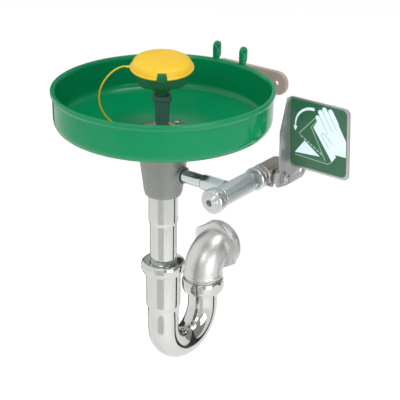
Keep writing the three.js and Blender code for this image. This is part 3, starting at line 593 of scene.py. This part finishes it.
def make_riser():
    steps = [(8.1, -54.9), (8.2, -52), (8.3, -49), (8.4, -45), (8.6, -41), (8.85, -37), (9.1, -33), (9.35, -30),
             (9.6, -26), (9.85, -22), (10.0, -18.6), (10.2, -17.6), (10.9, -16.6), (11.6, -15.9), (12.1, -14.9),
             (12.3, -13.8), (12.3, -12), (12.1, -11), (11.7, -10.3), (11.2, -10)]
    riser = lofted("riser_stem", [superellipse(h, 6, z, 160, flutes) for h, z in steps], RISER)
    for r, low, high, sides, operation in (
        (8, -83.7, -53.5, 64, "UNION"), (9.2, -16, -9, 64, "DIFFERENCE"), (5, -90, -15, 48, "DIFFERENCE"),
    ):
        rod = turned("tool", [(0, low), (r, low), (r, high), (0, high)], sides=sides, place=RISER)
        combine(riser, rod, operation)
    dress(riser, "riser", "riser", smooth=35)
    low = -54.6
    band = turned("ring_band", [(11, low, 0.4), (13.6, low, 0.7), (13.6, low + 2.2, 0.7), (11, low + 2.2, 0.4)])
    eye = turned("tool", [(0, low), (2.7, low, 0.6), (2.7, low + 2.2, 0.6), (0, low + 2.2)],
                 at=TETHER_SIDE * 15.2, sides=40)
    combine(band, eye, "UNION")
    dress(band, "yellow", "tether_ring", smooth=40)


def make_head():
    steps = [(27.6, 3.6, 20.6), (29.0, 3.6, 20.8), (30.0, 3.5, 21.8), (30.6, 3.3, 23.6), (31.6, 3.0, 25.8),
             (33.2, 2.6, 28.4), (35.2, 2.3, 31.4), (36.6, 2.1, 33.5), (37.2, 2, 34.4), (37.5, 2, 35.2),
             (37.5, 2, 37.6), (37.2, 2, 38)]
    dish = lofted("head_dish", [superellipse(h, p, z, 128) for h, p, z in steps], HEAD)
    hollow = [(0, 23), (20, 23), (33, 33), (34.8, 33.4), (34.8, 40), (0, 40)]
    combine(dish, turned("tool", hollow, sides=96, place=HEAD), "DIFFERENCE")
    combine(dish, turned("tool", [(0, 10), (5, 10), (5, 30), (0, 30)], sides=48, place=HEAD), "DIFFERENCE")
    dress(dish, "head", "spray_head_body", smooth=35)
    stalk = turned("head_stalk", [
        (5, -4.5), (7.9, -4.5, 0.4), (7.9, 8.5, 0.6), (12.8, 8.7, 0.7), (13.5, 9.8, 0.5), (13.5, 13, 0.6),
        (14.6, 14, 0.8), (17.6, 16.2, 1.2), (19.4, 18.6, 1), (20, 21.4, 0.4), (5, 21.4),
    ], place=HEAD)
    dress(stalk, "head", smooth=35)
    outline = [(-6.6, 33.7), (6.6, 33.7), (5.2, 43.6), (4.4, 44.7), (-4.4, 44.7), (-5.2, 43.6)]
    tab = slab("head_tab", outline, -37.7, -33.6, lambda u, v, d: HEAD @ Vector((u, d, v)), 0.5)
    dress(tab, "head", smooth=35)


def make_cap():
    seat = HEAD @ Matrix.Translation((0, 0, CAP_SEAT + 0.8))
    cap = turned("cap_shell", [
        (0, 14.0), (15, 13.5, 6), (28.5, 12.0, 9), (35.0, 9.0, 3), (37.6, 4.2, 2), (38.1, 2.2, 0.7), (39.5, 1.5, 0.4),
        (39.5, 0, 0.4), (37.9, 0, 0.3), (37.3, 1.2, 0.5), (34.4, 7.2, 2), (26.5, 10.6, 6), (0, 12.5),
    ], sides=144, place=seat, steps=6)
    notch = slab("tool", [(-6.9, -1), (6.9, -1), (6.5, 1.5), (5, 8.3), (-5, 8.3), (-6.5, 1.5)], -50, -31,
                 lambda u, v, d: seat @ Vector((u, d, v)), 0)
    combine(cap, notch, "DIFFERENCE")
    outline = [(-38.2, -3.4), (-38.2, 3.4), (-40.4, 2.2)] + circle(-43.4, 0, 1.7, 15, 90, 270, False) + [
        (-40.4, -2.2)]
    lug = slab("tool", outline, 0, 1.6, lambda u, v, d: seat @ Vector((u, v, d)), 0.3)
    combine(cap, lug, "UNION")
    dress(cap, "yellow", "dust_cap", "cap", 35)


make_riser()
make_head()
make_cap()


# ---- supply line ----------------------------------------------------------------------------
RUN, ARM, STEM = (TEE_X, 0, SUPPLY_Z), (0, 0, SUPPLY_Z), (0, STEM_Y, SUPPLY_Z)


def make_supply():
    nipple = turned("nipple_pipe", [(5.5, 25.5), (8.57, 25.5, 0.4), (8.57, 68, 0.4), (5.5, 68)], "x", ARM)
    dress(nipple, "chrome_x", "supply_nipple")
    tee = turned("tee_run", [
        (0, -28), (12.2, -28, 0.3), (12.9, -26.4, 0.5), (12.9, 31.6, 1.2), (11.4, 34, 0.5), (0, 34),
    ], "y", RUN, 96)
    branch = turned("tee_branch", [(8.87, 64.5), (9.2, 64.5, 0.2), (10, 66, 0.5), (10, 98.5), (6, 98.5), (6, 68.3),
                                   (8.87, 68.3)], "x", ARM, 96)
    dress(branch, "chrome_x")
    for tool in (turned("tool", [(0, -29), (9.6, -29), (9.6, 22), (0, 22)], "y", RUN, 64),
                 turned("tool", [(0, 60), (6, 60), (6, TEE_X), (0, TEE_X)], "x", ARM, 48),
                 turned("tool", [(0, 20), (6, 20), (6, 46), (0, 46)], "y", RUN, 48)):
        combine(tee, tool, "DIFFERENCE")
    round_edges(tee, 0.25, 2, 35)
    dress(tee, "chrome_y", "strainer_tee", smooth=40)
    neck = hexagon("tee_neck", 20.5, 33.6, 44.5, "y", RUN, math.pi / 6, bore=6)
    dress(neck, "bright", smooth=25)
    plug = turned("plug_head", [
        (0, -47.6), (7.6, -47.6, 0.5), (8.3, -46.9, 0.3), (8.3, -46.1, 0.3), (10.1, -46.1, 0.4), (10.8, -45.4, 0.4),
        (10.8, -44, 0.5), (14.4, -43.7, 0.9), (15.5, -42, 0.8),
        (15.5, -36.8, 0.7), (13.2, -36, 0.3), (13.2, -34.2, 0.3), (14.8, -33.8, 0.4), (14.8, -30.6, 0.3),
        (9.3, -30.6, 0.2), (9.3, -16.6, 0.6), (0, -16.6),
    ], "y", RUN, 112)
    combine(plug, hexagon("tool", 8.4, -48.6, -40.6, "y", RUN, 0.3, edge=0), "DIFFERENCE")
    dress(plug, "bright", "strainer_plug", smooth=30)
    nut = turned("union_ring", [
        (10.7, 44.8), (13.6, 44.8, 0.5), (14.9, 46.2, 0.8), (14.9, 50.6, 0.8), (13.8, 52.3, 0.3), (10.7, 52.3),
    ], "y", RUN, 112)
    dress(nut, "bright", "union_nut")
    cap = hexagon("end_cap_hex", 27, 52.6, 59.1, "y", RUN, bore=8)
    dress(cap, "bright", "valve_end_cap", smooth=25)
    sleeve = turned("end_cap_sleeve", [(6.2, 44.8), (10.4, 44.8, 0.4), (10.4, 62.4, 0.4), (6.2, 62.4)], "y", RUN, 72)
    dress(sleeve, "bright")


def make_valve():
    body = turned("valve_shell", [
        (0, 59.4), (13.4, 59.4, 0.5), (14.6, 61, 0.8), (14.6, 98, 1.2), (13.2, 101, 0.6), (0, 101),
    ], "y", RUN, 112)
    combine(body, turned("tool", [(0, TEE_X), (8.6, TEE_X), (8.6, 124), (0, 124)], "x", STEM, 64), "UNION")
    pad = [(STEM_Y - 10.5, SUPPLY_Z - 10.5), (STEM_Y + 10.5, SUPPLY_Z - 10.5), (STEM_Y + 10.5, SUPPLY_Z + 10.5),
           (STEM_Y - 10.5, SUPPLY_Z + 10.5)]
    combine(body, slab("tool", pad, 120, 124, lambda u, v, d: (d, u, v), 1.2), "UNION")
    combine(body, turned("tool", [(0, 115), (2.9, 115), (2.9, 126, 0.6), (0, 126)], "x",
                         (0, STEM_Y - 9.2, SUPPLY_Z - 9), 32), "UNION")
    cast(body, 0.55, 2)
    for tool in (turned("tool", [(0, 58), (10.7, 58), (10.7, 65.5), (10.3, 65.5), (10.3, 83), (6.2, 83), (6.2, 86),
                               (10, 86), (10, 102), (0, 102)], "y", RUN, 64),
                 turned("tool", [(0, TEE_X), (4.9, TEE_X), (4.9, 134), (0, 134)], "x", STEM, 48)):
        combine(body, tool, "DIFFERENCE")
    dress(body, "nickel", "valve_body", smooth=45)
    packing = hexagon("packing_hex", 16, 124.3, 130, "x", STEM, math.pi / 6, bore=4.9)
    dress(packing, "bright", "packing_nut", smooth=25)


make_supply()
make_valve()


# ---- push handle, stem and sign --------------------------------------------------------------
LEAN = math.atan2(SIGN_LOW.y - SIGN_HIGH.y, SIGN_HIGH.z - SIGN_LOW.z)
SIGN_HEIGHT = (SIGN_HIGH - SIGN_LOW).length
SIGN_WIDTH = 222 - HANDLE_X
STEM_END = HANDLE_X + 8.3


def on_sign(u, v, d):
    """u from the fold, v up from the bottom edge, d out from the sign's face."""
    return (HANDLE_X + u, SIGN_LOW.y - d * math.cos(LEAN) - v * math.sin(LEAN),
            SIGN_LOW.z - d * math.sin(LEAN) + v * math.cos(LEAN))


def make_handle():
    side_outline = [
        (SIGN_HIGH.y + 2.2, SIGN_HIGH.z - 3), (SIGN_HIGH.y - 1, SIGN_HIGH.z - 2.5), (64, -42.5), (62.4, -45),
        (63.2, -99), (57.2, -100),
    ] + circle(63.4, -112.8, 7.2, 9, 180, 265, False) + [(76, -122), (90, -122.6)] + circle(
        113, -111.5, 10.8, 15, -80, 90, False) + [(98, -97.7), (86.2, -95.2)]
    side = slab("handle_sheet", side_outline, HANDLE_X - SHEET, HANDLE_X, lambda u, v, d: (d, u, v), 0,
                [circle(STEM_Y, SUPPLY_Z, 4.9, 32), circle(113, -111.5, 4.8, 32)])
    panel = slab("tool", rounded_box(-SHEET, SIGN_WIDTH, 0, SIGN_HEIGHT, 7.5), -SHEET, 0, on_sign, 0)
    combine(side, panel, "UNION")
    round_edges(side, 0.5, 3, 35)
    dress(side, "sheet", "push_handle", "handle", 40)
    stem = turned("stem_shaft", [
        (0, TEE_X + 10), (4.6, TEE_X + 10, 0.3), (4.6, STEM_END - 0.8, 0.5), (3.9, STEM_END, 0.3), (0, STEM_END),
    ], "x", STEM, 64)
    combine(stem, slab("tool", [(-1, -4), (1, -4), (1, 4), (-1, 4)], TEE_X + 6.8, TEE_X + 11.2,
                       lambda u, v, d: (d, STEM_Y + u, SUPPLY_Z + v), 0), "UNION")
    dress(stem, "steel", "valve_stem", "handle")
    washer = turned("handle_washer_disc", [
        (4.9, HANDLE_X + 0.3, 0.1), (8, HANDLE_X + 0.3, 0.3), (8, HANDLE_X + 2, 0.4), (4.9, HANDLE_X + 2, 0.1),
    ], "x", STEM, 64)
    dress(washer, "steel", "handle_washer", "handle")
    nut = hexagon("handle_hex", 12.7, HANDLE_X + 2.2, STEM_END - 1.1, "x", STEM, math.pi / 6, bore=4.9)
    dress(nut, "steel", "handle_nut", "handle", 25)


def strip(points, width, taper=None):
    """A band of even or tapering width along a line."""
    left, right = [], []
    for i, p in enumerate(points):
        a, b = points[max(i - 1, 0)], points[min(i + 1, len(points) - 1)]
        n = Vector((-(b[1] - a[1]), b[0] - a[0])).normalized()
        w = width / 2 if taper is None else (width + (taper - width) * i / (len(points) - 1)) / 2
        left.append((p[0] + n.x * w, p[1] + n.y * w))
        right.append((p[0] - n.x * w, p[1] - n.y * w))
    return left + right[::-1]


def curve(points):
    return [(p.x, p.y) for p in catmull_rom([Vector((u, v, 0)) for u, v in points])]


def capsule(start, end, r):
    """A flat bar with round ends."""
    turn = math.degrees(math.atan2(end[1] - start[1], end[0] - start[0]))
    return circle(*end, r, 11, turn - 90, turn + 90, False) + circle(*start, r, 11, turn + 90, turn + 270, False)


def make_label():
    """A plain sign of a hand that pushes a tilting plate, with an arrow for the way it moves."""
    label = slab("label_plate", rounded_box(1.1, 82.4, 3.2, 92.6, 7), 0.3, 0.8, on_sign, 0.12)
    dress(label, "label", "sign_label", "handle")
    under, flat, raised, top = (0.74, 0.83), (0.76, 0.86), (0.84, 0.90), (0.88, 0.94)
    arc = curve([(37, 84.6), (28.5, 83.6), (20, 79.4), (13.6, 72.6), (10.2, 64.4), (9.4, 56)])
    shapes = [
        ("arrow_arc", "print", strip(arc, 4, 1.5), flat),
        ("arrow_tip", "print", [(6.4, 57), (12.4, 57), (9.4, 50.4)], flat),
        ("base_wedge", "print", [(8.6, 21), (45.2, 23.8), (23, 40)], flat),
        ("plate_far", "outline", strip([(42, 78), (15, 48), (16.6, 46.4)], 1.1), under),
        ("plate_near", "outline", strip([(44, 73.5), (32.4, 60.6), (53.2, 19.6)], 1.2), under),
        ("base_line", "outline", strip([(9, 18.2), (57, 16.4), (64, 22)], 1.0), under),
        ("flap", "print", [(35.6, 60.8), (62.6, 20.8), (68.4, 28.8), (50, 60), (42.4, 72)], (0.75, 0.845)),
        ("palm", "print", [(46, 62), (48.5, 52), (63, 31.6), (82.3, 31.6), (82.3, 52.5), (71.8, 71.2), (62, 70.5)],
         flat),
        ("thumb_gap", "line", capsule((60, 42), (50.6, 52.6), 3.7), raised),
        ("thumb", "print", capsule((61.4, 40.6), (50.6, 52.6), 3.05), top),
    ]
    for i in range(7):
        dash = [(17.5 + 4.6 * i, 45.6 - 2.75 * i), (20.6 + 4.6 * i, 43.7 - 2.75 * i)]
        shapes.append((f"plate_dash_{i}", "outline", strip(dash, 2.2), (0.73, 0.82)))
    for i, length in enumerate((16, 21, 22, 17)):
        base = (50 + 6.2 * i, 61 + 3.65 * i)
        tip = (base[0] - 0.507 * length, base[1] + 0.862 * length)
        shapes.append((f"finger_{i}", "print", capsule(base, tip, 3.3), (0.77, 0.87)))
        if i:
            gap = (base[0] - 3.1, base[1] - 1.8)
            sides = [(gap[0] + 3.5, gap[1] - 6), (gap[0] - 7, gap[1] + 11.9)]
            shapes.append((f"finger_gap_{i}", "line", strip(sides, 0.6), raised))
    for name, look, outline, (low, high) in shapes:
        dress(slab("print_" + name, outline, low, high, on_sign, 0), look, (), "handle", 20)


make_handle()
make_label()


# ---- waste line -----------------------------------------------------------------------------
def slip_nut(name, profile, at, slot_node, flats=0.0):
    nut = turned(name, profile, at=at, sides=112)
    if flats:
        combine(nut, hexagon("tool", flats, -30, 10, "z", at, 0.3, edge=0), "INTERSECT")
        round_edges(nut, 0.5, 3, 12)
    return dress(nut, "chrome", slot_node)


def make_waste():
    tail = turned("tail_tube", [
        (19.05, -126, 0.3), (19.05, -180.5, 3), (17.5, -185.5, 3), (17.5, -268, 0.3), (16.1, -268), (16.1, -185.5, 3),
        (17.65, -180.5, 3), (17.65, -126),
    ], sides=128)
    dress(tail, "chrome", "tailpiece")
    r, t = 29, 17.5
    slip_nut("nut_inlet", [
        (t + 0.3, -2.6, 0.3), (t + 2.4, -2.3, 1), (r - 4.6, -1.3, 1.2), (r - 3, 0, 1), (r - 0.9, -1.8, 1.4),
        (r, -5, 2), (r, -10, 2), (r - 1.2, -13, 1.8), (r - 3.4, -16.8, 1.2), (22.9, -17.4), (22.9, -8.2),
        (t + 0.3, -8.2)], (0, 0, -239), "slip_nut_inlet")
    slip_nut("nut_outlet", [
        (21, -18.3, 0.5), (26.6, -18.3, 1.2), (28.4, -14.4, 1.5), (29.3, -11.5, 2), (29.3, -5, 2), (28.6, -2.2, 1.2),
        (27.6, 0, 0.8), (25.5, 0, 0.3), (25.5, -12), (21, -12)], (0, TRAP_Y, -300.5), "slip_nut_outlet", 56.4)
    bend_r, tube_r, bore_r = TRAP_Y / 2, 20.4, 17.9
    path = [Vector((0, 0, z)) for z in (-250.5, -250.9, -276, -301, -303, -305, -307, -309, -310.5, -324)]
    outer = [22.2, 22.6, 22.6, 22.6, 22.45, 22.0, 21.2, 20.7, tube_r, tube_r]
    arc = 40
    for k in range(arc + 1):
        a = math.pi * k / arc
        path.append(Vector((0, bend_r - bend_r * math.cos(a), TRAP_BEND_Z - bend_r * math.sin(a))))
        outer.append(tube_r)
    path += [Vector((0, TRAP_Y, z)) for z in (-330, -318, -303.4, -303)]
    outer += [tube_r, tube_r, tube_r, 20.1]
    bend = pipe("trap_tube", path, outer, [bore_r] * len(path), 96)
    dress(bend, "chrome", "j_bend", smooth=30)


def make_elbow():
    leg, face = (0, TRAP_Y, 0), (0, 0, OUTLET_Z)
    turn_r, outer_r, bore_r = 31, 26.6, 20
    arc = [Vector((0, TRAP_Y + turn_r - turn_r * math.cos(a), OUTLET_Z - turn_r + turn_r * math.sin(a)))
           for a in (math.pi / 2 * k / 20 for k in range(21))]
    elbow = lofted("elbow_casting", tube_rings(arc, [outer_r] * len(arc), 72))
    for tool in (
        turned("tool", [(0, -296.3), (26.4, -296.3, 0.8), (27.5, -295, 0.8), (27.5, -292.4, 1), (26.6, -290.8, 1),
                      (26.6, -288), (0, -288)], at=leg, sides=96),
        turned("tool", [(0, -307.5), (25.2, -307.5, 0.4), (25.2, -290), (0, -290)], at=leg, sides=96),
    ):
        combine(elbow, tool, "UNION")
    cast(elbow, 0.75, 2)
    collar = hexagon("tool", 64.5, 111.5, 121, "y", face, 0, 0.03, edge=0)
    combine(collar, turned("tool", [(0, 120.5), (33.8, 120.5), (33.8, 127.5, 1), (32.2, 129.5, 0.5), (0, 129.5)],
                           "y", face, 112), "UNION")
    combine(elbow, round_edges(collar, 0.5, 3, 25), "UNION")
    hole = lofted("tool", tube_rings(arc, [bore_r] * len(arc), 56))
    for tool in (hole, turned("tool", [(0, -309), (20.7, -309), (20.7, -292), (0, -292)], at=leg, sides=72),
                 turned("tool", [(0, 112.5), (24, 112.5), (24, 131), (0, 131)], "y", face, 80)):
        combine(elbow, tool, "DIFFERENCE")
    dress(elbow, "elbow", "outlet_elbow", smooth=45)


make_waste()
make_elbow()


# ---- floor, light and surroundings ------------------------------------------------------------
CENTRE = (0, -0.19, -0.05)
FLOOR_HALF, FLOOR_Z = 40, -1.0
CARD_LOW = -0.99


def stage_floor():
    h = FLOOR_HALF
    mesh = bpy.data.meshes.new("floor")
    mesh.from_pydata([(-h, -h, 0), (h, -h, 0), (h, h, 0), (-h, h, 0)], [], [(0, 1, 2, 3)])
    floor = link("floor", mesh)
    floor.location.z = FLOOR_Z
    mesh.materials.append(finish("pale_floor", (0.96, 0.96, 0.96), 0.9, mottle=0.004, mottle_mm=400, grain_mm=20,
                                 bump=0))


def soft_light(name, kind, place, aim, power, size):
    light = bpy.data.objects.new(name, bpy.data.lights.new(name, kind))
    light.data.energy = power
    if kind == "SUN":
        light.data.angle = math.radians(size[0])
    else:
        light.data.shape = "RECTANGLE"
        light.data.size, light.data.size_y = size
    light.location = place
    light.rotation_euler = (Vector(aim) - Vector(place)).to_track_quat("-Z", "Y").to_euler()
    bpy.context.scene.collection.objects.link(light)


def show_in_gloss_only(card, name, color):
    card.data.materials.append(finish(name, color, 0.9, grain_mm=20, mottle_mm=100))
    card.visible_camera = card.visible_diffuse = card.visible_shadow = False


def flag(name, azimuth, distance, width, low, high, shade=0.03):
    """An upright card beside the object, dark or pale by its shade, which only its polished parts see."""
    a = math.radians(azimuth)
    middle = Vector((math.cos(a), math.sin(a), 0)) * distance + Vector((0, -BOWL_TO_WALL / 1000, 0))
    across = Vector((-math.sin(a), math.cos(a), 0)) * width / 2
    mesh = bpy.data.meshes.new(name)
    corners = [middle - across + Vector((0, 0, low)), middle + across + Vector((0, 0, low)),
               middle + across + Vector((0, 0, high)), middle - across + Vector((0, 0, high))]
    mesh.from_pydata(corners, [], [(0, 1, 2, 3)])
    card = link(name, mesh)
    show_in_gloss_only(card, name, (shade, shade, shade))


def under_card(name, profile, color):
    """A bowl-shaped card just under the bowl, which only the polished pipes see: a painted reflection of the bowl's
    underside, dark where that underside is shaded and pale where it is lit.
    """
    card = turned(name, profile)
    show_in_gloss_only(card, name, color)


def surroundings():
    """A pale room that is brightest up and to the left of the camera."""
    world = bpy.data.worlds.new("studio")
    bpy.context.scene.world = world
    world.use_nodes = True
    nodes, links = world.node_tree.nodes, world.node_tree.links
    place, toward = nodes.new("ShaderNodeTexCoord"), nodes.new("ShaderNodeVectorMath")
    toward.operation = "DOT_PRODUCT"
    toward.inputs[1].default_value = Vector((-0.75, -0.6, 0.25)).normalized()
    ramp, spread = nodes.new("ShaderNodeValToRGB"), nodes.new("ShaderNodeMapRange")
    spread.inputs["From Min"].default_value = -1
    links.new(place.outputs["Generated"], toward.inputs[0])
    links.new(toward.outputs["Value"], spread.inputs["Value"])
    links.new(spread.outputs["Result"], ramp.inputs["Fac"])
    stops = ((0.0, 0.30), (0.4, 0.38), (0.6, 0.6), (0.8, 0.95), (1.0, 1.0))
    while len(ramp.color_ramp.elements) < len(stops):
        ramp.color_ramp.elements.new(0.5)
    for element, (at, value) in zip(ramp.color_ramp.elements, stops):
        element.position = at
        element.color = (value, value, value, 1)
    links.new(ramp.outputs["Color"], nodes["Background"].inputs["Color"])
    nodes["Background"].inputs["Strength"].default_value = 1.05


stage_floor()
surroundings()
soft_light("key_light", "SUN", (0.35, 0.1, 1.0), (0, 0, 0), 1.2, (32, 32))
soft_light("front_light", "AREA", (0.55, -1.9, 1.45), CENTRE, 11, (1.2, 1.0))
soft_light("fill_light", "AREA", (1.45, -0.65, 0.0), (0.05, -0.12, -0.25), 8, (0.9, 0.9))
flag("flag_right", 47, 0.9, 0.22, CARD_LOW, 0.6)
flag("flag_left", 146, 0.9, 0.5, CARD_LOW, 0.45)
flag("flag_front_wide", -72, 0.92, 0.85, CARD_LOW, 0.05, 0.94)
flag("flag_front", -70, 0.9, 0.45, CARD_LOW, 0.05, 0.88)
# Painted shade: a dark ring that the pipes reflect instead of the shaded underside of the bowl round the drain.
under_card("painted_shade_card", [(37, -74.5), (56, -73.4), (56, -74), (37, -75.1)], (0.05, 0.065, 0.06))
# Painted light: a pale ring that the pipes reflect instead of the lit underside of the bowl further out.
under_card("painted_light_card", [(56, -73.4), (100, -71), (126, -57), (126, -57.5), (100, -71.6), (56, -74)],
           (0.8, 0.9, 0.87))
bpy.context.scene.view_settings.view_transform = "Standard"
